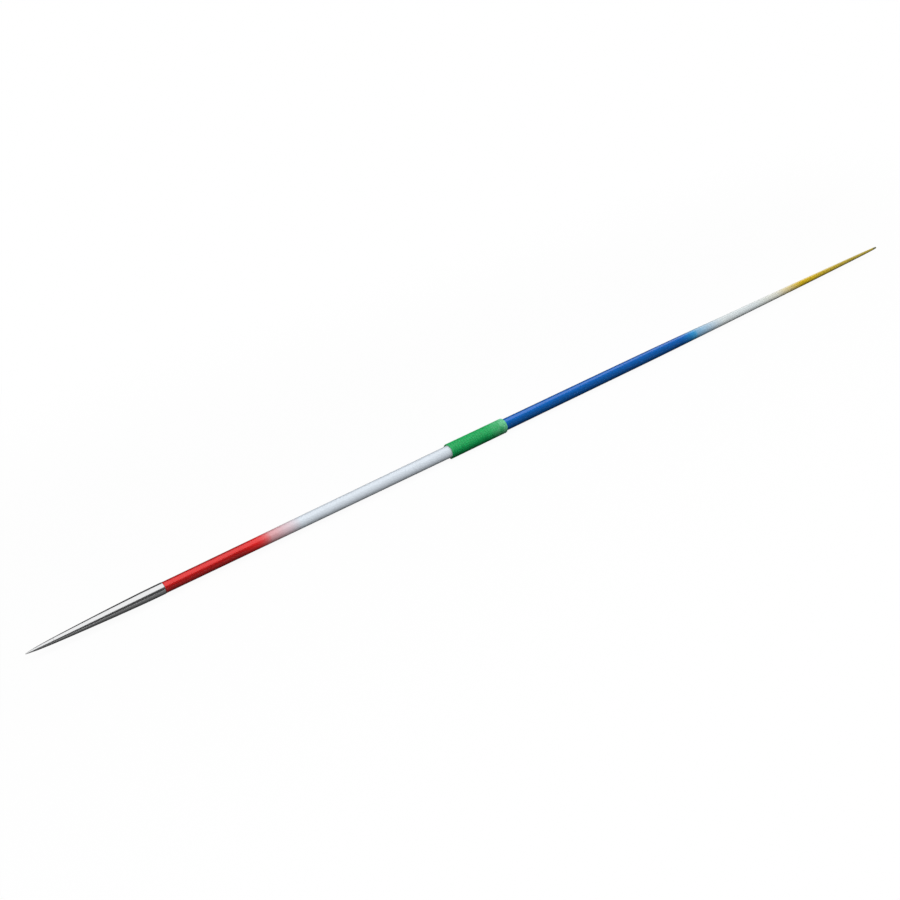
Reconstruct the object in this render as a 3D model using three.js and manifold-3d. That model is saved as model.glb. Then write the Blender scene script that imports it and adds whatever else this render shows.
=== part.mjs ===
// A competition javelin of the 800 g class. A thin polished steel head sits on a tapered shaft of two
// lacquered aluminium tubes. A sleeve joins them under the cord grip, and a small plug closes the tail.
// Sizes are in millimetres. X runs from the head to the tail and Z is up. The origin is under the middle
// of the grip, on the narrow flat that the winding lies on.
import * as THREE from 'three';
import { mergeVertices } from 'three/addons/utils/BufferGeometryUtils.js';
import Module from 'manifold-3d';

const wasm = await Module();
wasm.setup();

// Driving dimensions. A station is a distance from the tip along the javelin.
const overallLength = 2620;
const headLength = 250;
const headRearDiameter = 22.8;
const shaftFrontDiameter = 21.8;
const shaftDiameter = 27.4;
const shaftTailDiameter = 7;
const gripCentre = 995;
const gripLength = 160;
const cordThickness = 2.4;
const frontWall = 1.3;
const rearWall = 1.3;
const tailPlugLength = 20;
const seatGap = 0.3;
const roundSegments = 32;

// The shaft's stretches follow from the driving dimensions.
const gripFront = gripCentre - gripLength / 2;
const gripRear = gripCentre + gripLength / 2;
const shaftFront = headLength + seatGap;
const shaftRear = overallLength - tailPlugLength;
const jointFront = gripCentre - seatGap / 2;
const jointRear = gripCentre + seatGap / 2;

// The radius at a station of an outline, whose points hold a station and a radius.
function radiusAt(outline, station) {
  const next = Math.max(1, outline.findIndex((point) => point.x >= station));
  const share = (station - outline[next - 1].x) / (outline[next].x - outline[next - 1].x);
  return THREE.MathUtils.lerp(outline[next - 1].y, outline[next].y, share);
}

// A smooth outline through a few shares of a stretch, each with its share of the way between two radii.
function smoothOutline(shares, [front, rear], [leastRadius, fullRadius], pointsPerShare) {
  const places = shares.map(([along, out]) => new THREE.Vector2(
    THREE.MathUtils.lerp(front, rear, along),
    THREE.MathUtils.lerp(leastRadius, fullRadius, out),
  ));
  return new THREE.SplineCurve(places).getPoints((shares.length - 1) * pointsPerShare);
}

// The stretch of an outline between two stations, with a point on each.
function stretch(outline, from, to) {
  const ends = [from, to].map((station) => new THREE.Vector2(station, radiusAt(outline, station)));
  const between = outline.filter((point) => point.x > from && point.x < to);
  return [ends[0], ...between, ends[1]];
}

// The same stretch drawn in towards the axis by a wall, listed from the tail towards the tip.
function innerStretch(outline, from, to, wall) {
  return stretch(outline, from, to).map((point) => new THREE.Vector2(point.x, point.y - wall)).reverse();
}

const corner = (station, radius) => new THREE.Vector2(station, radius);

// A piece turned about the javelin's axis. Its section is listed along the outside towards the tail
// and then back along the inside, or from the axis to the axis. Its own datum is its first station.
function turned(name, material, section) {
  const datum = section[0].x;
  const onAxis = section[0].y === 0;
  const closed = onAxis ? section : [...section, section[0]];
  const profile = closed.map((point) => new THREE.Vector2(point.y, point.x - datum));
  const geometry = new THREE.LatheGeometry(profile, roundSegments).rotateZ(-Math.PI / 2);
  const piece = new THREE.Mesh(geometry, material);
  piece.name = name;
  piece.position.x = datum;
  return piece;
}

const polishedSteel = new THREE.MeshStandardMaterial({ color: 0xc4c6c8, roughness: 0.12, metalness: 1 });
const hardenedSteel = new THREE.MeshStandardMaterial({ color: 0xb4b6b8, roughness: 0.2, metalness: 1 });
const plainSteel = new THREE.MeshStandardMaterial({ color: 0x8e9092, roughness: 0.4, metalness: 1 });
const bareAluminium = new THREE.MeshStandardMaterial({ color: 0xb8babc, roughness: 0.4, metalness: 1 });
const frontLacquer = new THREE.MeshStandardMaterial({ color: 0xc4393c, roughness: 0.25, metalness: 0 });
const rearLacquer = new THREE.MeshStandardMaterial({ color: 0x0553a0, roughness: 0.25, metalness: 0 });
const tapeCloth = new THREE.MeshStandardMaterial({ color: 0xd8dcd8, roughness: 0.9, metalness: 0 });
const cordFibre = new THREE.MeshStandardMaterial({ color: 0x1ea85c, roughness: 0.8, metalness: 0 });
const tailPlastic = new THREE.MeshStandardMaterial({ color: 0x4a4f48, roughness: 0.6, metalness: 0 });

// The head's outline swells fast behind the point and then lies almost level at the rear rim.
const tipEndRadius = 0.7;
const rimChamfer = 0.6;
const headRearRadius = headRearDiameter / 2;
const headShares = [[0, 0], [0.07, 0.222], [0.2, 0.44], [0.45, 0.69], [0.7, 0.888], [0.88, 0.984], [1, 1]];
const headOutline = smoothOutline(headShares, [0, headLength], [tipEndRadius, headRearRadius], 3);

// The point is hardened steel. Its spigot is fixed in the shell's front hole.
const pointLength = 48;
const pointSpigotRadius = 2.6;
const pointSpigotLength = 22;
function headPoint() {
  const spigotEnd = pointLength + pointSpigotLength;
  return turned('head_point', hardenedSteel, [
    corner(0, 0),
    corner(tipEndRadius * (1 - Math.SQRT1_2), tipEndRadius * Math.SQRT1_2),
    ...stretch(headOutline, tipEndRadius, pointLength),
    corner(pointLength, pointSpigotRadius),
    corner(spigotEnd, pointSpigotRadius),
    corner(spigotEnd, 0),
  ]);
}

// The shell is thin pressed steel. The point's spigot closes its front, and the shaft's drawn-in nose
// fills the socket in its rear, whose wall is thicker.
const shellWall = 1.2;
const socketWall = 1.6;
const noseLength = 60;
const socketFront = headLength - noseLength - seatGap;
const socketRadius = radiusAt(headOutline, socketFront) - socketWall;
const noseRadius = socketRadius - seatGap;
const shellThroat = pointLength + pointSpigotLength + seatGap;
const throatTaper = 14;
function headShell() {
  const front = pointLength + seatGap;
  const spigotHole = pointSpigotRadius + seatGap;
  const cavityFront = shellThroat + throatTaper;
  const cavityRear = socketFront - throatTaper;
  return turned('head_shell', polishedSteel, [
    ...stretch(headOutline, front, headLength - rimChamfer),
    corner(headLength, headRearRadius - rimChamfer),
    corner(headLength, socketRadius),
    corner(socketFront, socketRadius),
    ...innerStretch(headOutline, cavityFront, cavityRear, shellWall),
    corner(shellThroat, spigotHole),
    corner(front, spigotHole),
  ]);
}

// A plug stiffens the shaft's nose. It has a flange in front of the nose and a bore for the weight's shank,
// and a fine vent lets the air out when the shank is pressed in.
const flangeLength = 4;
const plugLength = 46;
const shankRadius = 3;
const shankLength = 26;
const ventRadius = 1;
const plugFront = shaftFront - noseLength - seatGap - flangeLength;
function nosePlug() {
  const flangeRear = plugFront + flangeLength;
  const plugRadius = noseRadius - frontWall - seatGap;
  const boreRadius = shankRadius + seatGap;
  const boreEnd = plugFront + shankLength + seatGap;
  return turned('nose_plug', bareAluminium, [
    corner(plugFront, noseRadius),
    corner(flangeRear, noseRadius),
    corner(flangeRear, plugRadius),
    corner(flangeRear + plugLength, plugRadius),
    corner(flangeRear + plugLength, ventRadius),
    corner(boreEnd, ventRadius),
    corner(boreEnd, boreRadius),
    corner(plugFront, boreRadius),
  ]);
}

// The balance weight fills the shell's hollow behind the point, so that the javelin balances under the grip.
const weightLength = 24;
const weightRadius = 6;
const weightNoseLength = 12;
const weightNoseRadius = 3.6;
function balanceWeight() {
  const rear = plugFront - seatGap;
  const front = rear - weightLength;
  return turned('balance_weight', plainSteel, [
    corner(front, 0),
    corner(front, weightNoseRadius),
    corner(front + weightNoseLength, weightRadius),
    corner(rear, weightRadius),
    corner(rear, shankRadius),
    corner(plugFront + shankLength, shankRadius),
    corner(plugFront + shankLength, 0),
  ]);
}

// The front tube widens steadily from the head to the grip. Its nose is drawn in to fit the head's socket.
const shoulderLength = 8;
const shaftRadius = shaftDiameter / 2;
const frontShares = [[0, 0], [0.3, 0.28], [0.55, 0.56], [0.8, 0.81], [1, 1]];
const shaftFrontRadius = shaftFrontDiameter / 2;
const frontOutline = smoothOutline(frontShares, [shaftFront, gripFront], [shaftFrontRadius, shaftRadius], 2);
function frontTube() {
  const noseFront = shaftFront - noseLength;
  const shoulderFront = shaftFront + frontWall;
  return turned('front_tube', frontLacquer, [
    corner(noseFront, noseRadius),
    corner(shaftFront, noseRadius),
    ...stretch(frontOutline, shaftFront, gripFront),
    corner(jointFront, shaftRadius),
    corner(jointFront, shaftRadius - frontWall),
    ...innerStretch(frontOutline, shoulderFront + shoulderLength, gripFront, frontWall),
    corner(shoulderFront, noseRadius - frontWall),
    corner(noseFront, noseRadius - frontWall),
  ]);
}

// The rear tube keeps its full width well behind the grip and then tapers faster and faster to the tail.
const parallelLength = 440;
const taperFront = gripRear + parallelLength;
const tailRadius = shaftTailDiameter / 2;
const rearShares = [
  [0, 1], [0.08, 0.98], [0.17, 0.922], [0.3, 0.798], [0.45, 0.655],
  [0.6, 0.54], [0.72, 0.422], [0.86, 0.252], [0.95, 0.12], [1, 0],
];
const rearOutline = smoothOutline(rearShares, [taperFront, shaftRear], [tailRadius, shaftRadius], 2);
function rearTube() {
  return turned('rear_tube', rearLacquer, [
    corner(jointRear, shaftRadius),
    ...stretch(rearOutline, taperFront, shaftRear),
    ...innerStretch(rearOutline, taperFront, shaftRear, rearWall),
    corner(jointRear, shaftRadius - rearWall),
  ]);
}

// A sleeve inside both tubes joins them. It is stepped because the two walls differ.
const sleeveLength = 120;
const sleeveWall = 1.2;
function jointSleeve() {
  const frontRadius = shaftRadius - frontWall - seatGap;
  const rearRadius = shaftRadius - rearWall - seatGap;
  const boreRadius = Math.min(frontRadius, rearRadius) - sleeveWall;
  const front = gripCentre - sleeveLength / 2;
  const rear = gripCentre + sleeveLength / 2;
  return turned('joint_sleeve', bareAluminium, [
    corner(front, frontRadius),
    corner(jointRear, frontRadius),
    corner(jointRear, rearRadius),
    corner(rear, rearRadius),
    corner(rear, boreRadius),
    corner(front, boreRadius),
  ]);
}

// Cloth tape lies round the joint, and the cord is wound on it.
const tapeThickness = 0.4;
const tapeInset = 1;
const tapeInner = shaftRadius + seatGap;
const tapeOuter = tapeInner + tapeThickness;
function gripTape() {
  return turned('grip_tape', tapeCloth, [
    corner(gripFront + tapeInset, tapeOuter),
    corner(gripRear - tapeInset, tapeOuter),
    corner(gripRear - tapeInset, tapeInner),
    corner(gripFront + tapeInset, tapeInner),
  ]);
}

// The cord is one unbroken winding. Each loop stands for two turns of the real cord side by side,
// so its section is a hexagon about twice as wide as it is thick.
const cordLoops = 23;
const loopSteps = 24;
const cordSides = 6;
const cordGap = 0.55;
const cordPitch = (gripLength + cordGap) / (cordLoops + 1);
const cordWidth = cordPitch - cordGap;
const stepAngle = (2 * Math.PI) / loopSteps;
const cordInner = (tapeOuter + seatGap) / Math.cos(stepAngle / 2);
const cordOuter = cordInner + cordThickness;
const restDepthShare = 0.1;
const lowestFacet = cordOuter * Math.cos(stepAngle / 2);
const axisHeight = lowestFacet - restDepthShare * cordThickness;

// One ring of the cord's section. The ring's angle is measured about the javelin's axis, and the winding
// has the middle of one of its facets straight below the axis, almost at the grip's centre.
function cordRing(step, ahead) {
  const angle = -Math.PI / 2 - stepAngle / 2 - stepAngle * step;
  const middleRadius = (cordInner + cordOuter) / 2;
  const outward = new THREE.Vector3(0, Math.cos(angle), Math.sin(angle));
  const along = new THREE.Vector3(cordPitch / (2 * Math.PI), 0, 0)
    .add(new THREE.Vector3(0, Math.sin(angle), -Math.cos(angle)).multiplyScalar(middleRadius))
    .normalize();
  const sideways = new THREE.Vector3().crossVectors(along, outward);
  const centre = outward.clone().multiplyScalar(middleRadius).addScaledVector(along, ahead);
  centre.x += (cordPitch * step) / loopSteps;
  return Array.from({ length: cordSides }, (_, side) => {
    const turn = (2 * Math.PI * side) / cordSides;
    const rise = (Math.sin(turn) / Math.sin(Math.PI / 3)) * (cordThickness / 2);
    return centre.clone()
      .addScaledVector(sideways, Math.cos(turn) * (cordWidth / 2))
      .addScaledVector(outward, rise);
  });
}

// The rings from end to end. Each end runs straight on for one thickness of the cord.
function cordRings() {
  const steps = cordLoops * loopSteps;
  const wound = Array.from({ length: steps + 1 }, (_, step) => cordRing(step - steps / 2, 0));
  return [cordRing(-steps / 2, -cordThickness), ...wound, cordRing(steps / 2, cordThickness)];
}

// The least distance between points of the cord that are about a whole loop apart.
function leastLoopGap(rings) {
  let least = Infinity;
  rings.forEach((ring, index) => {
    const neighbours = rings.slice(index + loopSteps - 2, index + loopSteps + 3).flat();
    for (const point of ring) {
      for (const other of neighbours) {
        least = Math.min(least, point.distanceTo(other));
      }
    }
  });
  return least;
}

function tubeGeometry(rings) {
  const sides = rings[0].length;
  const indices = [];
  for (let ring = 0; ring + 1 < rings.length; ring += 1) {
    for (let side = 0; side < sides; side += 1) {
      const here = ring * sides + side;
      const beside = ring * sides + ((side + 1) % sides);
      indices.push(here, here + sides, beside, beside, here + sides, beside + sides);
    }
  }
  const last = (rings.length - 1) * sides;
  for (let side = 1; side + 1 < sides; side += 1) {
    indices.push(0, side, side + 1, last, last + side + 1, last + side);
  }
  const geometry = new THREE.BufferGeometry().setFromPoints(rings.flat());
  geometry.setIndex(indices);
  return geometry;
}

function solidOf(geometry) {
  geometry.deleteAttribute('normal');
  geometry.deleteAttribute('uv');
  const merged = mergeVertices(geometry);
  return new wasm.Manifold(new wasm.Mesh({
    numProp: 3,
    vertProperties: Float32Array.from(merged.attributes.position.array),
    triVerts: Uint32Array.from(merged.index.array),
  }));
}

function geometryOf(solid) {
  const mesh = solid.getMesh();
  const geometry = new THREE.BufferGeometry();
  geometry.setAttribute('position', new THREE.BufferAttribute(mesh.vertProperties, mesh.numProp));
  geometry.setIndex(new THREE.BufferAttribute(mesh.triVerts, 1));
  return geometry;
}

// The winding is pressed flat where the javelin lies on it.
const cutOverrun = 5;
function gripCord() {
  const cutSize = [gripLength + 2 * cutOverrun, 2 * cordOuter, 2 * cutOverrun];
  const rings = cordRings();
  console.log(`least gap between the cord's loops: ${leastLoopGap(rings).toFixed(2)} mm`);
  const below = new THREE.BoxGeometry(...cutSize).translate(0, 0, -axisHeight - cutOverrun);
  const lying = solidOf(tubeGeometry(rings)).subtract(solidOf(below));
  const cord = new THREE.Mesh(geometryOf(lying), cordFibre);
  cord.name = 'grip_cord';
  cord.position.x = gripCentre;
  return cord;
}

// The tail plug carries the shaft's taper on to a rounded end, and its spigot fills the rear tube's bore.
const tailEndRadius = 2.5;
const tailRoundSteps = 4;
const tailSpigotLength = 30;
function tailPlug() {
  const front = shaftRear + seatGap;
  const spigotRadius = tailRadius - rearWall - seatGap;
  const roundCentre = overallLength - tailEndRadius;
  const round = Array.from({ length: tailRoundSteps }, (_, step) => {
    const turn = (Math.PI / 2) * (step / tailRoundSteps);
    return corner(roundCentre + tailEndRadius * Math.sin(turn), tailEndRadius * Math.cos(turn));
  });
  return turned('tail_plug', tailPlastic, [
    corner(shaftRear - tailSpigotLength, 0),
    corner(shaftRear - tailSpigotLength, spigotRadius),
    corner(front, spigotRadius),
    corner(front, tailRadius),
    ...round,
    corner(overallLength, 0),
  ]);
}

const head = new THREE.Group();
head.add(headPoint(), headShell(), balanceWeight());

const shaft = new THREE.Group();
shaft.add(nosePlug(), frontTube(), jointSleeve(), rearTube(), tailPlug());

const grip = new THREE.Group();
grip.add(gripTape(), gripCord());

const javelin = new THREE.Group();
javelin.add(head, shaft, grip);
javelin.position.set(-gripCentre, 0, axisHeight);

export default javelin;
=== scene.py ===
"""A competition javelin of the 800 g class: a polished steel head, a shaft of two lacquered aluminium tubes
whose colours fade into white, a cord grip wound where the two tubes meet, and a small plug in the tail.

Metres, Z up. The javelin lies along X with its point towards -X, and rests on its grip at the origin."""

import bpy
import numpy as np
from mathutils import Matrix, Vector


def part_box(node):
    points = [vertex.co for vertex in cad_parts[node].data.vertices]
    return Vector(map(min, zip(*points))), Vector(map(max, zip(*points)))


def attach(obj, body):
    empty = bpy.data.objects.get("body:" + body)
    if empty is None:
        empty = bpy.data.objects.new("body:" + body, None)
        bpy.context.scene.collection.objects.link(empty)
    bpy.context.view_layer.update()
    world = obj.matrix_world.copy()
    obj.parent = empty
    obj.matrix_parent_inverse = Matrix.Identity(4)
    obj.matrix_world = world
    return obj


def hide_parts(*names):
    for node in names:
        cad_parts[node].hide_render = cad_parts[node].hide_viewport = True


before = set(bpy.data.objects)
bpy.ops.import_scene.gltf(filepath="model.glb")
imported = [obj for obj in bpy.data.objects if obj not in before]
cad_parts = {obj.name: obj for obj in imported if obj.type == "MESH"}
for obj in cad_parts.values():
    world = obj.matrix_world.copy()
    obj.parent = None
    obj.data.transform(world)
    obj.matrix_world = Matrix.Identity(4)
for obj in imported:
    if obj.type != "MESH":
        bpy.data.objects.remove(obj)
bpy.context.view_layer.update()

# The point. Hardened steel, ground and polished on a lathe, with a spigot at the rear that is pressed into
# the shell behind it. Its very tip is rounded and a little dulled by the ground.
axis_height = (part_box("rear_tube")[0].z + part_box("rear_tube")[1].z) / 2
tip_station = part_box("head_point")[0].x
micron = 1e-6
weld_microns = 5
around_steps = 128
edge_break = 0.00012
edge_break_share = 0.3
edge_steps = 5
edge_guard_share = 1.5
edge_sharp_from = np.radians(20)
noise_low, noise_high = 0.3, 0.7
line_share, line_cloud_share = 0.6, 0.4
line_cloud_waves = 55.0
line_shade = (0.96, 1.02)
line_haze_below, line_haze_above = 0.02, 0.03
line_strength = 0.05
scuff_waves = (60, 4200, 4200)
scuff_from, scuff_to = 0.52, 0.66
scuff_shade = 0.82
scuff_shade_share = 0.5
scuff_roughness = 0.18
scuff_depth_share = 0.6
polished_depth = 0.000004
point_colour = (0.82, 0.825, 0.835)
point_roughness = 0.2
point_line_width = 0.00016
point_scuff_length = 0.045


def section_of(node):
    """The node's section in its upper half plane, as rows of (station along X, distance from the axis). A
    corner is a vertex of the mesh with y = 0 above the axis, and two corners of one triangle are neighbours.
    The rows run towards the tail along the outside and back along the inside."""
    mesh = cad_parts[node].data
    places = np.empty(len(mesh.vertices) * 3)
    mesh.vertices.foreach_get("co", places)
    places = places.reshape(-1, 3)
    corners = np.empty(len(mesh.polygons) * 3, int)
    mesh.polygons.foreach_get("vertices", corners)
    triangles = corners.reshape(-1, 3)
    cut = (abs(places[:, 1]) < micron) & (places[:, 2] > axis_height - micron)
    keys = np.round(places[:, [0, 2]] / micron / weld_microns).astype(int)
    _, first, same = np.unique(keys, axis=0, return_index=True, return_inverse=True)
    same = same.reshape(-1)
    neighbours = {}
    for a, b in ((0, 1), (1, 2), (2, 0)):
        both = cut[triangles[:, a]] & cut[triangles[:, b]]
        for p, q in zip(same[triangles[both, a]], same[triangles[both, b]]):
            if p != q:
                neighbours.setdefault(p, set()).add(q)
                neighbours.setdefault(q, set()).add(p)
    ends = [p for p in neighbours if len(neighbours[p]) == 1]
    walk = [min(ends or neighbours, key=lambda p: places[first[p], 0])]
    while True:
        ahead = [q for q in neighbours[walk[-1]] if q not in walk]
        if not ahead:
            break
        walk.append(ahead[0])
    rows = places[first[walk]][:, [0, 2]] - (0, axis_height)
    x, r = rows.T
    if np.sum(x * np.roll(r, -1) - np.roll(x, -1) * r) > 0:
        rows = rows[::-1]
    return rows


def with_broken_edges(section):
    """The section with each sharp corner swapped for a small round one: a parabola from the point one edge
    break before the corner to the point one edge break after it, and a guard row on each side. Next to a
    short stretch the break is a share of that stretch."""
    closed = section[0, 1] > micron
    before = np.roll(section, 1, axis=0) - section
    after = np.roll(section, -1, axis=0) - section
    long_before = np.linalg.norm(before, axis=1)
    long_after = np.linalg.norm(after, axis=1)
    toward = before / long_before[:, None]
    onward = after / long_after[:, None]
    sharp = np.sum(toward * onward, axis=1) > -np.cos(edge_sharp_from)
    if not closed:
        sharp[[0, -1]] = False
    shorter = np.minimum(long_before, long_after)
    reach = np.minimum(edge_break, shorter * edge_break_share)[:, None, None]
    share = np.linspace(0, 1, edge_steps)[None, :, None]
    start = section[:, None] + toward[:, None] * reach
    end = section[:, None] + onward[:, None] * reach
    bend = (1 - share) ** 2 * start + 2 * share * (1 - share) * section[:, None] + share**2 * end
    guards = [section[:, None] + way[:, None] * reach * edge_guard_share for way in (toward, onward)]
    rounded = np.concatenate([guards[0], bend, guards[1]], axis=1)
    rows = [rounded[k] if sharp[k] else section[k : k + 1] for k in range(len(section))]
    return np.concatenate(rows)


def new_object(name, data):
    """An object in the scene for a mesh, a lamp or a camera. A mesh's object stays at the origin."""
    made = bpy.data.objects.new(name, data)
    bpy.context.scene.collection.objects.link(made)
    return made


def turned(name, node):
    """The node's section turned about the javelin's axis: at angle a, a row (x, r) lies at (x, r sin a,
    r cos a). A row on the axis is one vertex. A section that starts off the axis is closed on itself."""
    x, r = with_broken_edges(section_of(node)).T
    on_axis = r < micron
    angle = np.arange(around_steps) * 2 * np.pi / around_steps
    grid = np.stack(
        [
            np.repeat(x[:, None], around_steps, axis=1),
            r[:, None] * np.sin(angle),
            axis_height + r[:, None] * np.cos(angle),
        ],
        axis=-1,
    )
    index = np.arange(len(x) * around_steps).reshape(len(x), around_steps)
    index[on_axis] = index[on_axis][:, :1]
    rows = len(x) if not on_axis[0] else len(x) - 1
    here = index[:rows]
    ahead = np.roll(index, -1, axis=0)[:rows]
    quads = np.stack([here, ahead, np.roll(ahead, -1, axis=1), np.roll(here, -1, axis=1)], -1).reshape(-1, 4)
    front = quads[:, 0] == quads[:, 3]
    rear = quads[:, 1] == quads[:, 2]
    faces = quads[~front & ~rear].tolist()
    faces += quads[front][:, :3].tolist()
    faces += quads[rear][:, [0, 1, 3]].tolist()
    used, new = np.unique(np.concatenate([np.ravel(face) for face in faces]), return_inverse=True)
    ends = np.cumsum([0] + [len(face) for face in faces])
    new = new.tolist()
    faces = [new[a:b] for a, b in zip(ends[:-1], ends[1:])]
    mesh = bpy.data.meshes.new(name)
    mesh.from_pydata(grid.reshape(-1, 3)[used], [], faces)
    mesh.shade_smooth()
    return new_object(name, mesh)


def put_in_place(piece, node, material):
    """The piece stands for the CAD node, which it hides, takes the material, and rides on the one body."""
    piece.data.materials.append(material)
    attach(piece, "root")
    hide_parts(node)


def add_node(tree, kind, inputs=None, **settings):
    """A shader node. The inputs that hold a socket are linked to it, and the others are set."""
    made = tree.nodes.new("ShaderNode" + kind)
    for name, value in settings.items():
        setattr(made, name, value)
    for name, value in (inputs or {}).items():
        if isinstance(value, bpy.types.NodeSocket):
            tree.links.new(value, made.inputs[name])
        else:
            made.inputs[name].default_value = value
    return made


def maths(tree, operation, *values, clamp=False):
    """One sum on numbers, any of which can be a socket."""
    return add_node(tree, "Math", dict(enumerate(values)), operation=operation, use_clamp=clamp).outputs[0]


def ranged(tree, value, low, high, to_low=0.0, to_high=1.0, way="SMOOTHSTEP"):
    """The value carried from one range to another, in a soft step or in a straight line. It stays at the
    range's ends outside it."""
    inputs = {"Value": value, "From Min": low, "From Max": high, "To Min": to_low, "To Max": to_high}
    return add_node(tree, "MapRange", inputs, interpolation_type=way).outputs["Result"]


def mixed(tree, share, first, second):
    """The first colour with its share of the second over it."""
    colours = [c if isinstance(c, bpy.types.NodeSocket) else (*c, 1) for c in (first, second)]
    return add_node(tree, "Mix", {0: share, 6: colours[0], 7: colours[1]}, data_type="RGBA").outputs[2]


def times(tree, colour, share):
    """The colour times a number, or times another colour channel by channel."""
    return add_node(tree, "VectorMath", {0: colour, 1: share}, operation="MULTIPLY").outputs[0]


def place_on_piece(tree):
    """Where a point lies on its piece, in metres."""
    return add_node(tree, "TexCoord").outputs["Object"]


def split(tree, place):
    """The X, Y and Z of a place."""
    return add_node(tree, "SeparateXYZ", {0: place}).outputs


def noise(tree, place, waves, detail):
    """Soft noise with so many waves in a metre of the place."""
    return add_node(tree, "TexNoise", {"Vector": place, "Scale": waves, "Detail": detail}).outputs["Fac"]


def noise_between(tree, value, low, high):
    """Noise carried in a straight line from the range that nearly all of it lies in to another."""
    return ranged(tree, value, noise_low, noise_high, low, high, "LINEAR")


def raise_skin(tree, shader, height, strength, distance):
    """The height, times the distance in metres, tips the normal of the skin."""
    bump = add_node(tree, "Bump", {"Height": height, "Strength": strength, "Distance": distance})
    tree.links.new(bump.outputs["Normal"], shader["Normal"])


def new_group(name, inputs, outputs):
    """An empty node group with number inputs, given with their usual values, and the named outputs. It
    comes with the sockets that they have inside it."""
    tree = bpy.data.node_groups.new(name, "ShaderNodeTree")
    for label, value in inputs.items():
        socket = tree.interface.new_socket(label, in_out="INPUT", socket_type="NodeSocketFloat")
        socket.default_value = value
    for label in outputs:
        tree.interface.new_socket(label, in_out="OUTPUT", socket_type="NodeSocketFloat")
    return tree, tree.nodes.new("NodeGroupInput").outputs, tree.nodes.new("NodeGroupOutput").inputs


def place_group(tree, group, **inputs):
    """The outputs of the group, placed in a material with its own values."""
    made = tree.nodes.new("ShaderNodeGroup")
    made.node_tree = group
    for name, value in inputs.items():
        made.inputs[name.replace("_", " ")].default_value = value
    return made.outputs


def new_material(name, **settings):
    """A material and its node tree, with the settings on the Principled shader's own sockets."""
    made = bpy.data.materials.new(name)
    made.use_nodes = True
    shader = made.node_tree.nodes["Principled BSDF"]
    for label, value in settings.items():
        shader.inputs[label.replace("_", " ")].default_value = value
    return made, made.node_tree, shader.inputs


def add_turning_lines():
    """Fine rings that a tool or a polishing cloth leaves round a turned piece. Noise is drawn out round
    the axis, so that it changes fast along X and slowly round the piece. The haze is the rings and a soft
    cloud, added up by their shares."""
    names = {"Line Width": 0.0002, "Wander": 8.0}
    tree, inputs, outputs = new_group("turning_lines", names, ["Height", "Haze"])
    place = place_on_piece(tree)
    axes = split(tree, place)
    wander = maths(tree, "MULTIPLY", inputs["Line Width"], inputs["Wander"])
    along = maths(tree, "DIVIDE", axes["X"], inputs["Line Width"])
    side = maths(tree, "DIVIDE", axes["Y"], wander)
    up = maths(tree, "DIVIDE", axes["Z"], wander)
    drawn_out = add_node(tree, "CombineXYZ", {"X": along, "Y": side, "Z": up}).outputs[0]
    lines = noise(tree, drawn_out, 1.0, 3.0)
    cloud = maths(tree, "MULTIPLY", noise(tree, place, line_cloud_waves, 4.0), line_cloud_share)
    tree.links.new(lines, outputs["Height"])
    tree.links.new(maths(tree, "MULTIPLY_ADD", lines, line_share, cloud), outputs["Haze"])
    return tree


turning_lines = add_turning_lines()


def turned_steel(name, colour, roughness, line_width, line_depth, scuff_length=0.0):
    """Bare turned metal. The turning lines move its shade, its roughness and its normal a little. Scuffs
    drawn out along X, as the ground leaves them, are dull and sunken, and fade out in the scuff length from
    the tip."""
    made, tree, shader = new_material(name, Metallic=1.0)
    lines = place_group(tree, turning_lines, Line_Width=line_width)
    tone = colour
    height = lines["Height"]
    dullness = noise_between(tree, lines["Haze"], roughness - line_haze_below, roughness + line_haze_above)
    if scuff_length:
        place = place_on_piece(tree)
        stretched = add_node(tree, "Mapping", {"Vector": place, "Scale": scuff_waves}).outputs[0]
        scratch = ranged(tree, noise(tree, stretched, 1.0, 2.0), scuff_from, scuff_to)
        reach = ranged(tree, split(tree, place)["X"], tip_station, tip_station + scuff_length, 1.0, 0.0)
        scuff = maths(tree, "MULTIPLY", scratch, reach)
        darker = tuple(channel * scuff_shade for channel in colour)
        tone = mixed(tree, maths(tree, "MULTIPLY", scuff, scuff_shade_share), colour, darker)
        height = maths(tree, "MULTIPLY_ADD", scuff, -scuff_depth_share, height)
        dullness = maths(tree, "MULTIPLY_ADD", scuff, scuff_roughness, dullness)
    tree.links.new(times(tree, tone, noise_between(tree, lines["Haze"], *line_shade)), shader["Base Color"])
    tree.links.new(dullness, shader["Roughness"])
    raise_skin(tree, shader, height, line_strength, line_depth)
    return made


hardened_steel = turned_steel(
    "hardened_steel", point_colour, point_roughness, point_line_width, polished_depth, point_scuff_length
)
point = turned("point", "head_point")
put_in_place(point, "head_point", hardened_steel)

# The shell of the head. Thin steel drawn to a slender bell, polished bright, and glued on the nose of the
# shaft. Its rear rim is chamfered down to the lacquer.
shell_colour = (0.85, 0.855, 0.865)
shell_roughness = 0.16
shell_line_width = 0.00022
shell_scuff_length = 3 * point_scuff_length

polished_steel = turned_steel(
    "polished_steel", shell_colour, shell_roughness, shell_line_width, polished_depth, shell_scuff_length
)
shell = turned("shell", "head_shell")
put_in_place(shell, "head_shell", polished_steel)

# The balance weight. A slug of plain turned steel inside the shell, whose size sets the balance point. The
# lathe's cut is left on it as it comes.
weight_colour = (0.50, 0.50, 0.51)
weight_roughness = 0.42
weight_line_width = 0.0004
cut_depth = 0.00001

plain_steel = turned_steel("plain_steel", weight_colour, weight_roughness, weight_line_width, cut_depth)
weight = turned("weight", "balance_weight")
put_in_place(weight, "balance_weight", plain_steel)

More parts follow.
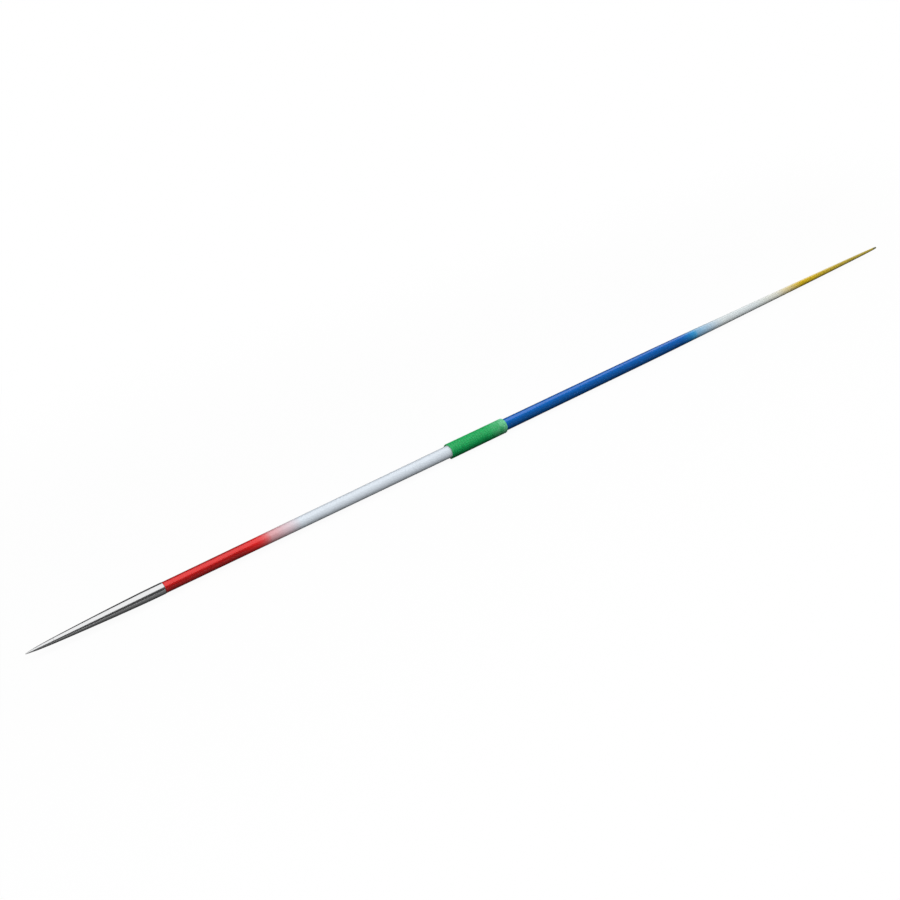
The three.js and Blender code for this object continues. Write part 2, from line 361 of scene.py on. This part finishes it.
# The nose plug and the joint sleeve. Turned aluminium, left bare, glued inside the tubes: the plug stiffens
# the shaft's nose and holds the weight, and the sleeve joins the two tubes under the grip.
aluminium_colour = (0.78, 0.785, 0.79)
aluminium_roughness = 0.34
aluminium_line_width = 0.0005

bare_aluminium = turned_steel(
    "bare_aluminium", aluminium_colour, aluminium_roughness, aluminium_line_width, cut_depth
)
for name, node in (("nose_stiffener", "nose_plug"), ("tube_sleeve", "joint_sleeve")):
    put_in_place(turned(name, node), node, bare_aluminium)

# The front tube. Aluminium drawn thin and tapered, sprayed white and then red from the head, with the red
# thinning out into the white, under a clear gloss lacquer.
white_paint = (0.765, 0.835, 0.91)
red_fade = {
    "clear": True,
    "paint": (0.84, 0.016, 0.016),
    "drop_depth": 0.01,
    "flake_share": 0.74,
    "flake_lead": 0.032,
    "full": tip_station + 0.437,
    "knee": tip_station + 0.4705,
    "gone": tip_station + 0.538,
    "knee_amount": 0.2,
}
noise_middle = 0.5
spray_cloud_waves = 40.0
spray_drop_grain = 0.3
spray_cloud_grain = 0.1
lacquer_roughness = 0.12
lacquer_ior = 1.6
lacquer_haze_waves = 38.0
lacquer_shade = (0.97, 1.02)
paint_gloss = 0.05
paint_roughness = (0.46, 0.54)
peel_strength = 0.12
peel_depth = 0.000008


def add_spray_fade():
    """How much paint a spray gun left. The amount falls in a straight line from 1 at Full to Knee Amount at
    Knee, and from there to 0 at Gone, which are places along X. The drops of the spray show as grain where
    the paint is thin, by four times the amount times what it lacks of 1."""
    names = {"Full": 0.0, "Knee": 0.5, "Knee Amount": 0.5, "Gone": 1.0, "Drop Size": 0.0006}
    tree, inputs, outputs = new_group("spray_fade", names, ["Amount"])
    place = place_on_piece(tree)
    station = split(tree, place)["X"]
    drops = noise(tree, place, maths(tree, "DIVIDE", 1.0, inputs["Drop Size"]), 2.0)
    clouds = noise(tree, place, spray_cloud_waves, 2.0)
    knee_amount = inputs["Knee Amount"]
    near = ranged(tree, station, inputs["Full"], inputs["Knee"], 1.0, knee_amount, "LINEAR")
    far = ranged(tree, station, inputs["Knee"], inputs["Gone"], knee_amount, 0.0, "LINEAR")
    straight = maths(tree, "SUBTRACT", maths(tree, "ADD", near, far), knee_amount)
    grain = maths(tree, "MULTIPLY", maths(tree, "SUBTRACT", drops, noise_middle), spray_drop_grain)
    cloudy = maths(tree, "SUBTRACT", clouds, noise_middle)
    grain = maths(tree, "MULTIPLY_ADD", cloudy, spray_cloud_grain, grain)
    thin = maths(tree, "MULTIPLY", straight, maths(tree, "SUBTRACT", 1.0, straight))
    grain_share = maths(tree, "MULTIPLY", thin, 4.0, clamp=True)
    total = maths(tree, "MULTIPLY_ADD", grain, grain_share, straight, clamp=True)
    tree.links.new(total, outputs["Amount"])
    return tree


def add_lacquer_skin():
    """The skin of sprayed lacquer: shallow orange peel for the normal, and a haze of dust and handling for
    the roughness and the shade. Both are noise."""
    tree, inputs, outputs = new_group("lacquer_skin", {"Peel Size": 0.0022}, ["Height", "Haze"])
    place = place_on_piece(tree)
    peel = noise(tree, place, maths(tree, "DIVIDE", 1.0, inputs["Peel Size"]), 1.0)
    tree.links.new(peel, outputs["Height"])
    tree.links.new(noise(tree, place, lacquer_haze_waves, 6.0), outputs["Haze"])
    return tree


spray_fade = add_spray_fade()
lacquer_skin = add_lacquer_skin()


def fade_amount(tree, fade, lead):
    """The amount of a fade's paint, or of what stops the lead short of the paint."""
    places = {name.title(): fade[name] - lead for name in ("full", "knee", "gone")}
    return place_group(tree, spray_fade, Knee_Amount=fade["knee_amount"], **places)["Amount"]


def lacquer(name, base, fades):
    """Clear gloss lacquer over white paint and sprayed colours. A clear colour filters what is below it, so
    the shade is that times (colour / white) to the power of the depth. The depth is the paint's amount, but a
    drop's depth at least, and paint thinner than a drop covers the white only by its share of that depth. A
    solid colour covers what is below by its amount. A fade holds the colour, its share of metal flakes and
    how far they stop short of it, the places along X where it is full, bends at the knee and is gone, and
    its amount at the knee."""
    made, tree, shader = new_material(
        name,
        Specular_IOR_Level=paint_gloss,
        Coat_Weight=1.0,
        Coat_Roughness=lacquer_roughness,
        Coat_IOR=lacquer_ior,
    )
    colour, flake = base, 0.0
    for fade in fades:
        amount = fade_amount(tree, fade, 0.0)
        if fade["clear"]:
            tint = tuple(channel / white for channel, white in zip(fade["paint"], base))
            depth = maths(tree, "MAXIMUM", amount, fade["drop_depth"])
            cover = maths(tree, "DIVIDE", amount, fade["drop_depth"], clamp=True)
            filtered = add_node(tree, "VectorMath", {0: tint, 1: depth}, operation="POWER").outputs[0]
            colour = times(tree, colour, mixed(tree, cover, (1, 1, 1), filtered))
        else:
            colour = mixed(tree, amount, colour, fade["paint"])
        flake_amount = fade_amount(tree, fade, fade["flake_lead"])
        flake = maths(tree, "MULTIPLY_ADD", flake_amount, fade["flake_share"], flake)
    skin = place_group(tree, lacquer_skin)
    shade = noise_between(tree, skin["Haze"], *lacquer_shade)
    tree.links.new(times(tree, colour, shade), shader["Base Color"])
    tree.links.new(flake, shader["Metallic"])
    tree.links.new(noise_between(tree, skin["Haze"], *paint_roughness), shader["Roughness"])
    raise_skin(tree, shader, skin["Height"], peel_strength, peel_depth)
    return made


front_lacquer = lacquer("front_lacquer", white_paint, [red_fade])
front_shaft = turned("front_shaft", "front_tube")
put_in_place(front_shaft, "front_tube", front_lacquer)

# The rear tube. Aluminium like the front one, but longer and drawn out to a thin tail. Clear blue from the
# grip fades into white, and the white into solid yellow, which grass and landings have dulled at the very
# tail.
rear_white_paint = (0.73, 0.79, 0.80)
blue_fade = {
    "clear": True,
    "paint": (0.004, 0.178, 0.68),
    "drop_depth": 0.45,
    "flake_share": 0.62,
    "flake_lead": 0.0,
    "full": tip_station + 1.687,
    "knee": tip_station + 1.749,
    "gone": tip_station + 1.856,
    "knee_amount": 0.34,
}
yellow_fade = {
    "clear": False,
    "paint": (0.90, 0.625, 0.0115),
    "flake_share": 0.5,
    "flake_lead": 0.0,
    "full": tip_station + 2.21,
    "knee": tip_station + 2.097,
    "gone": tip_station + 1.995,
    "knee_amount": 0.17,
}
dull_fade = {
    "clear": False,
    "paint": (0.66, 0.51, 0.06),
    "flake_share": 0.0,
    "flake_lead": 0.0,
    "full": tip_station + 2.47,
    "knee": tip_station + 2.33,
    "gone": tip_station + 2.25,
    "knee_amount": 0.5,
}

rear_lacquer = lacquer("rear_lacquer", rear_white_paint, [blue_fade, yellow_fade, dull_fade])
rear_shaft = turned("rear_shaft", "rear_tube")
put_in_place(rear_shaft, "rear_tube", rear_lacquer)

# The tail plug. Olive plastic, moulded with a rounded end and pressed into the open tail. It is satin all
# over, from the frosting of its mould.
plastic_colour = (0.17, 0.162, 0.045)
plastic_ior = 1.48
plastic_shade = (0.9, 1.1)
plastic_roughness = (0.36, 0.5)
plastic_cloud_waves = 160.0
frost_waves = 3800.0
frost_strength = 0.3
frost_depth = 0.00001


def moulded_plastic(name, colour):
    """Satin plastic. Clouds of soft noise move its shade and its roughness, and fine noise frosts it."""
    made, tree, shader = new_material(name, IOR=plastic_ior)
    place = place_on_piece(tree)
    frost = noise(tree, place, frost_waves, 2.0)
    cloud = noise(tree, place, plastic_cloud_waves, 3.0)
    tree.links.new(times(tree, colour, noise_between(tree, cloud, *plastic_shade)), shader["Base Color"])
    tree.links.new(noise_between(tree, cloud, *plastic_roughness), shader["Roughness"])
    raise_skin(tree, shader, frost, frost_strength, frost_depth)
    return made


tail_plastic = moulded_plastic("tail_plastic", plastic_colour)
tail_end = turned("tail_end", "tail_plug")
put_in_place(tail_end, "tail_plug", tail_plastic)

# The cloth tape. One layer of pale cotton tape round the joint, which the cord is wound on. It is stretched
# as it is laid, so that it lies flat on both tubes.
tape_low, tape_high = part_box("grip_tape")
tape_colour = (0.70, 0.71, 0.69)
tape_roughness = 0.9
tape_sheen = 0.2
thread_pitch = 0.0006
threads_along = 140.0
thread_gap_shade = 0.78
thread_strength = 0.5
thread_depth = 0.00008


def woven_cloth(name, colour):
    """Plain weave: threads along X and round the tape, each a sine wave, the higher of the two on top.
    Where the weave is low, between the threads, its colour is painted darker as painted shade.
    """
    made, tree, shader = new_material(name, Roughness=tape_roughness, Sheen_Weight=tape_sheen)
    axes = split(tree, place_on_piece(tree))
    angle = maths(tree, "ARCTAN2", axes["Y"], maths(tree, "SUBTRACT", axes["Z"], axis_height))
    along = maths(tree, "SINE", maths(tree, "MULTIPLY", axes["X"], 2 * np.pi / thread_pitch))
    across = maths(tree, "SINE", maths(tree, "MULTIPLY", angle, threads_along))
    weave = maths(tree, "MAXIMUM", along, across)
    shade = ranged(tree, weave, -1.0, 1.0, thread_gap_shade, 1.0, "LINEAR")
    tree.links.new(times(tree, colour, shade), shader["Base Color"])
    raise_skin(tree, shader, weave, thread_strength, thread_depth)
    return made


cloth_tape = woven_cloth("cloth_tape", tape_colour)
tape = turned("tape", "grip_tape")
put_in_place(tape, "grip_tape", cloth_tape)

# The grip cord. Three plies of soft green yarn are laid up into one cord, which is doubled and wound tight
# round the tape as a pair, each turn pressed against the last. It is squashed level underneath, where the
# javelin lies on it. The start and the end of each strand are drawn thin and glued down.
grip_low, grip_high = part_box("grip_cord")
cord_strands = 2
cord_rounds = 24
cord_ply_count = 3
cord_sides = 12
cord_steps = 156
cord_lay_length = 0.0125
cord_inner = tape_high.z - axis_height
cord_outer = grip_high.z - axis_height
cord_step_share = 0.25
cord_drift_share = 0.15
cord_rounds_moved = cord_rounds - 1 + cord_drift_share * (1 - cord_step_share)
cord_width = (grip_high.x - grip_low.x) / cord_strands / (cord_rounds_moved + 1)
cord_press = 0.0003
cord_slack = 0.00005
cord_slack_rate, cord_slack_start = 0.37, 1.3
cord_sway_rate, cord_sway_start = 0.113, 0.4
cord_sway_share = 0.8
cord_swell, cord_swell_rate = 0.012, 0.29
cord_ripple, cord_ripple_length = 0.01, 0.011
cord_squareness = 2.8
cord_groove_share = 0.24
cord_start_angle = np.radians(-105)
cord_end_length = 0.009
cord_end_share = 0.05
cord_end_sink = 0.6
cord_colour = (0.003, 0.56, 0.14)
cord_groove_shade_colour = (0.001, 0.17, 0.05)
cord_worn_colour = (0.33, 0.92, 0.56)
cord_roughness = 0.42
cord_gloss = 0.7
cord_groove_shade_from, cord_groove_shade_to = 0.05, 0.6
cord_wear_from = 0.01
cord_wear_to = 0.09
cord_wear_power = 1.5
cord_wear_cloud_waves = 90.0
cord_wear_by_cloud = (0.35, 0.65, 0.35, 1.0)
cord_wear_by_ply = (0.2, 0.8, 0.5, 1.0)
# Painted shade: the grip cord's colour is made darker towards the bottom.
cord_painted_shade_from = axis_height + 0.014
cord_painted_shade_to = axis_height - 0.008
cord_painted_shade = 0.66
fibre_waves = (14, 60, 1)
fibre_shade = (0.8, 1.15)
fibre_strength = 0.6
fibre_depth = 0.0001


def wound_cord(strand):
    """The cord's section carried round the tape, from underneath over the near side, the top and the far
    side. In t turns it drifts on along X by the drift's share of the pitch times t, and it makes the rest of
    the pitch in a smooth step in the last share of each turn, low on the far side and underneath. Slow sine
    waves of the angle and the length make it a little uneven. The section is a rounded square, wider along X
    than it is thick, whose radius dips by the groove between two plies, and these wind round the cord once
    in a lay length."""
    half_thick = (cord_outer - cord_inner) / 2
    half_wide = cord_width / 2
    middle = cord_inner + half_thick
    pitch = cord_width * cord_strands
    turns = cord_rounds - cord_step_share
    step_count = int(turns * cord_steps) + 1
    turn = np.linspace(0, turns, step_count)
    angle = cord_start_angle - 2 * np.pi * turn
    length = turn * np.hypot(2 * np.pi * middle, pitch)
    done = turn % 1
    step = np.clip((done - 1 + cord_step_share) / cord_step_share, 0, 1)
    step = step**2 * (3 - 2 * step)
    moved = turn - done + cord_drift_share * done + (1 - cord_drift_share) * step
    slack = np.sin(angle * cord_slack_rate + cord_slack_start + strand)
    slack = slack + cord_sway_share * np.sin(angle * cord_sway_rate + cord_sway_start)
    press = cord_press * (0.5 - strand)
    x = grip_low.x + half_wide + cord_width * strand + press + pitch * moved + cord_slack * slack
    swell = 1 + cord_swell * np.sin(angle * cord_swell_rate + strand)
    swell = swell + cord_ripple * np.sin(length / cord_ripple_length)
    ends = np.clip(np.minimum(length, length[-1] - length) / cord_end_length, 0, 1)
    taper = cord_end_share + (1 - cord_end_share) * np.sqrt(ends * (2 - ends))
    side = np.arange(cord_sides) * 2 * np.pi / cord_sides
    around = side[None, :] + 2 * np.pi * length[:, None] / cord_lay_length
    square = abs(np.cos(around)) ** cord_squareness + abs(np.sin(around)) ** cord_squareness
    ply = abs(np.cos(side * cord_ply_count / 2))
    lobe = 1 - cord_groove_share * (1 - ply)
    size = lobe[None, :] * (swell * taper)[:, None] * square ** (-1 / cord_squareness)
    out = middle - half_thick * (1 - taper)[:, None] * cord_end_sink + np.sin(around) * half_thick * size
    places = np.stack(
        [
            x[:, None] + np.cos(around) * half_wide * size,
            out * np.cos(angle)[:, None],
            axis_height + out * np.sin(angle)[:, None],
        ],
        axis=-1,
    )
    places[..., 2] = np.maximum(places[..., 2], 0)
    index = np.arange(step_count * cord_sides).reshape(step_count, cord_sides)
    here, ahead = index[:-1], index[1:]
    quads = np.stack([here, ahead, np.roll(ahead, -1, axis=1), np.roll(here, -1, axis=1)], -1).reshape(-1, 4)
    caps = [index[0].tolist(), index[-1, ::-1].tolist()]
    along = np.broadcast_to(length[:, None] / cord_lay_length, index.shape)
    share = np.broadcast_to(np.arange(cord_sides) / cord_sides, here.shape)
    share_next = share + 1 / cord_sides
    corners = np.stack(
        [
            np.stack([along[:-1], share], -1),
            np.stack([along[1:], share], -1),
            np.stack([along[1:], share_next], -1),
            np.stack([along[:-1], share_next], -1),
        ],
        axis=2,
    )
    return places.reshape(-1, 3), quads, caps, corners.reshape(-1, 2)


def wound_pair(name):
    """Both strands of the winding in one mesh, with the map CordLay, where u counts lay lengths along the
    cord and v goes once round it. The flat ends come last, with all of their corners at 0, 0."""
    places, faces, caps, corners = [], [], [], []
    for strand in range(cord_strands):
        strand_places, quads, ends, strand_corners = wound_cord(strand)
        offset = strand * len(strand_places)
        places.append(strand_places)
        faces += (quads + offset).tolist()
        caps += [[k + offset for k in cap] for cap in ends]
        corners.append(strand_corners)
    corners.append(np.zeros((len(caps) * cord_sides, 2)))
    mesh = bpy.data.meshes.new(name)
    mesh.from_pydata(np.concatenate(places), [], faces + caps)
    mesh.shade_smooth()
    lay_map = mesh.uv_layers.new(name="CordLay")
    lay_map.uv.foreach_set("vector", np.concatenate(corners).astype(np.float32).ravel())
    return new_object(name, mesh)


def laid_yarn(name):
    """Dyed yarn. Along the cord's own map u counts lay lengths and v goes once round it, three plies in a
    round. Fibres are noise drawn out along the ply, the grooves between plies are painted darker as painted
    shade, the high parts towards the rear end are rubbed pale, and the colour is painted darker towards the
    bottom as painted shade."""
    made, tree, shader = new_material(name, Roughness=cord_roughness, Specular_IOR_Level=cord_gloss)
    lay = add_node(tree, "UVMap", uv_map="CordLay").outputs["UV"]
    place = place_on_piece(tree)
    here = split(tree, place)
    ply_angle = maths(tree, "MULTIPLY", split(tree, lay)["Y"], np.pi * cord_ply_count)
    ply = maths(tree, "ABSOLUTE", maths(tree, "COSINE", ply_angle))
    stretched = add_node(tree, "Mapping", {"Vector": lay, "Scale": fibre_waves}).outputs[0]
    fibre = noise(tree, stretched, 1.0, 4.0)
    cloud = noise(tree, place, cord_wear_cloud_waves, 5.0)
    # Painted shade: the grooves between the plies get a darker colour.
    groove = ranged(tree, ply, cord_groove_shade_from, cord_groove_shade_to)
    dye_and_groove_shade = mixed(tree, groove, cord_groove_shade_colour, cord_colour)
    rear = maths(tree, "POWER", ranged(tree, here["X"], cord_wear_from, cord_wear_to), cord_wear_power)
    wear = maths(tree, "MULTIPLY", rear, ranged(tree, cloud, *cord_wear_by_cloud))
    wear = maths(tree, "MULTIPLY", wear, ranged(tree, ply, *cord_wear_by_ply))
    worn = mixed(tree, wear, dye_and_groove_shade, cord_worn_colour)
    # Painted shade: darker towards the bottom of the grip.
    underside_shade = ranged(tree, here["Z"], cord_painted_shade_to, cord_painted_shade_from, cord_painted_shade, 1.0)
    shade = maths(tree, "MULTIPLY", noise_between(tree, fibre, *fibre_shade), underside_shade)
    tree.links.new(times(tree, worn, shade), shader["Base Color"])
    raise_skin(tree, shader, fibre, fibre_strength, fibre_depth)
    return made


grip_yarn = laid_yarn("grip_yarn")
cord = wound_pair("cord_winding")
put_in_place(cord, "grip_cord", grip_yarn)

# The studio. The javelin lies on a wide white floor under one long soft lamp. The floor and the air behind it
# look plain white, and only near the javelin does the floor take some of the lamp's light, so that its
# shadow shows. Only polished surfaces see the cards beside the javelin, so they are painted reflections. The
# dark ones paint the dark lines on the steel, and the pale one glows and paints a bright reflection on the
# upper edge of the tail.
lamp_height = 1.5
lamp_from_x, lamp_to_x = -3.5, 7.5
lamp_near_y, lamp_far_y = -1.9, 0.48
lamp_radiance = 1.3
ambient_colour = (0.25, 0.253, 0.258)
floor_half = 40.0
floor_share_lit = 0.06
floor_lit_colour = 0.9
floor_lit_middle_x = 0.31
floor_lit_along = (1.4, 2.4)
floor_lit_beside = (0.15, 0.9)
floor_bounce = 0.03
card_front_x, card_rear_x = -4.0, 10.0
card_near_y, card_far_y = -4.0, 4.0
card_painted_shadow_y = 0.05
card_painted_shadow_share = 0.1
card_dims_from, card_dims_to = -0.5, 0.2
card_dim_share = 0.25
low_card_height = 0.0008
low_card_grey = 0.17
near_wall_foot, near_wall_top = 0.12, 3.0
near_wall_glow = 0.06
near_roof_front_x, near_roof_rear_x = -1.85, 4.0
near_roof_far_y = 1.41
far_wall_end_x = 5.4
far_wall_top = 3.4
far_wall_glow = 0.05
pale_card_front_x, pale_card_near_y = 0.87, 0.03
pale_card_height = 0.0012
pale_card_glow = 0.8


def white_light(strength):
    """The inputs of a shader that gives off white light."""
    return {"Color": (1, 1, 1, 1), "Strength": strength}


def seen_ray(tree):
    """1 for a ray that comes straight, mirrored or through glass to the camera, and 0 for other light."""
    rays = add_node(tree, "LightPath").outputs
    seen = maths(tree, "ADD", rays["Is Camera Ray"], rays["Is Glossy Ray"], clamp=True)
    return maths(tree, "ADD", seen, rays["Is Transmission Ray"], clamp=True)


def add_world():
    """The air: white to the eye and in mirrors, and dim as a light."""
    world = bpy.data.worlds.new("studio")
    bpy.context.scene.world = world
    world.use_nodes = True
    tree = world.node_tree
    tree.nodes.clear()
    seen = seen_ray(tree)
    bright = add_node(tree, "Background", white_light(1.0)).outputs[0]
    dim = add_node(tree, "Background", {"Color": (*ambient_colour, 1), "Strength": 1.0}).outputs[0]
    both = add_node(tree, "MixShader", {0: seen, 1: dim, 2: bright}).outputs[0]
    add_node(tree, "OutputWorld", {"Surface": both})


def empty_material(name):
    """A material and its node tree, with nothing in it."""
    made = bpy.data.materials.new(name)
    made.use_nodes = True
    made.node_tree.nodes.clear()
    return made, made.node_tree


def add_matt_glow(tree, grey, glow):
    """A surface that scatters light by its grey and gives off white light of its own."""
    matt = add_node(tree, "BsdfDiffuse", {"Color": grey}).outputs[0]
    light = add_node(tree, "Emission", white_light(glow)).outputs[0]
    both = add_node(tree, "AddShader", {0: matt, 1: light}).outputs[0]
    add_node(tree, "OutputMaterial", {"Surface": both})


def floor_material():
    """White of its own light, but near the javelin a share of it is the lamp's, so that a shadow shows. To
    light that isn't seen it is nearly black, and only its bounce comes back."""
    made, tree = empty_material("studio_floor")
    seen = seen_ray(tree)
    axes = split(tree, place_on_piece(tree))
    beside = ranged(tree, maths(tree, "ABSOLUTE", axes["Y"]), *floor_lit_beside, 1.0, 0.0)
    from_middle = maths(tree, "SUBTRACT", axes["X"], floor_lit_middle_x)
    beyond = ranged(tree, maths(tree, "ABSOLUTE", from_middle), *floor_lit_along, 1.0, 0.0)
    near = maths(tree, "MULTIPLY", maths(tree, "MULTIPLY", beside, beyond), floor_share_lit)
    lit = maths(tree, "MULTIPLY", maths(tree, "MULTIPLY", near, floor_lit_colour), seen)
    grey = maths(tree, "MULTIPLY_ADD", maths(tree, "SUBTRACT", 1.0, seen), floor_bounce, lit)
    glow = maths(tree, "MULTIPLY", maths(tree, "SUBTRACT", 1.0, near), seen)
    add_matt_glow(tree, grey, glow)
    return made


def card_material(name, grey, glow):
    """A card of one grey, with a glow of its own. Its grey is darker right beside the javelin, as a painted
    shadow of the javelin, and from the front tube back to the grip it falls off to its dim share, as painted
    shade in the reflections."""
    made, tree = empty_material(name)
    axes = split(tree, place_on_piece(tree))
    away = maths(tree, "ABSOLUTE", axes["Y"])
    beside = ranged(tree, away, 0.0, card_painted_shadow_y, card_painted_shadow_share, 1.0, "LINEAR")
    along = ranged(tree, axes["X"], card_dims_from, card_dims_to, grey, grey * card_dim_share)
    add_matt_glow(tree, maths(tree, "MULTIPLY", beside, along), glow)
    return made


def flat_sheet(name, corners, material):
    """A flat sheet through four corners, which is part of the studio."""
    mesh = bpy.data.meshes.new(name)
    mesh.from_pydata(corners, [], [(0, 1, 2, 3)])
    mesh.materials.append(material)
    made = new_object(name, mesh)
    return made


def level_corners(from_x, to_x, from_y, to_y, z):
    """The corners of a level sheet, in the order that makes it face upwards."""
    return [(from_x, from_y, z), (to_x, from_y, z), (to_x, to_y, z), (from_x, to_y, z)]


def add_card(name, corners, grey, glow):
    """A card that only polished surfaces see."""
    card = flat_sheet(name, corners, card_material(name, grey, glow))
    card.visible_camera = False
    card.visible_diffuse = False
    card.visible_transmission = False
    card.visible_shadow = False


add_world()
flat_sheet("floor", level_corners(-floor_half, floor_half, -floor_half, floor_half, 0), floor_material())

lamp = bpy.data.lights.new("soft_lamp", "AREA")
lamp.shape = "RECTANGLE"
lamp.size = lamp_to_x - lamp_from_x
lamp.size_y = lamp_far_y - lamp_near_y
lamp.energy = lamp_radiance * np.pi * lamp.size * lamp.size_y
lamp_object = new_object("soft_lamp", lamp)
lamp_object.location = ((lamp_from_x + lamp_to_x) / 2, (lamp_near_y + lamp_far_y) / 2, lamp_height)
lamp_object.visible_camera = False
lamp_object.visible_glossy = False

add_card(
    "low_card",
    level_corners(card_front_x, card_rear_x, card_near_y, card_far_y, low_card_height),
    low_card_grey,
    0.0,
)
add_card(
    "near_wall",
    [
        (card_rear_x, card_near_y, near_wall_foot),
        (card_front_x, card_near_y, near_wall_foot),
        (card_front_x, card_near_y, near_wall_top),
        (card_rear_x, card_near_y, near_wall_top),
    ],
    0.0,
    near_wall_glow,
)
add_card(
    "near_roof",
    [
        (near_roof_front_x, card_near_y, near_wall_top),
        (card_rear_x, card_near_y, near_wall_top),
        (card_rear_x, near_roof_far_y, near_wall_top),
        (near_roof_rear_x, near_roof_far_y, near_wall_top),
    ],
    0.0,
    near_wall_glow,
)
add_card(
    "far_wall",
    [
        (card_front_x, card_far_y, 0),
        (far_wall_end_x, card_far_y, 0),
        (far_wall_end_x, card_far_y, far_wall_top),
        (card_front_x, card_far_y, far_wall_top),
    ],
    0.0,
    far_wall_glow,
)
# The pale card glows and paints a bright reflection on the upper edge of the tail.
add_card(
    "pale_card",
    level_corners(pale_card_front_x, card_rear_x, pale_card_near_y, card_far_y, pale_card_height),
    0.0,
    pale_card_glow,
)

# The camera. It stands on the near side, a little in front of the point and about as high as a person's
# waist, and looks at the front end of the grip.
camera_lens = 38.565
camera_reach = 200
camera_place = Vector((-1.15677, -1.31337, 1.2122 + axis_height))
camera_aim = Vector((-0.07228, 0.00294, axis_height))

camera = bpy.data.cameras.new("camera")
camera.lens = camera_lens
camera.clip_end = camera_reach
camera_object = new_object("camera", camera)
camera_object.location = camera_place
camera_object.rotation_mode = "QUATERNION"
camera_object.rotation_quaternion = (camera_aim - camera_place).to_track_quat("-Z", "Y")
bpy.context.scene.camera = camera_object
bpy.context.scene.view_settings.view_transform = "Standard"
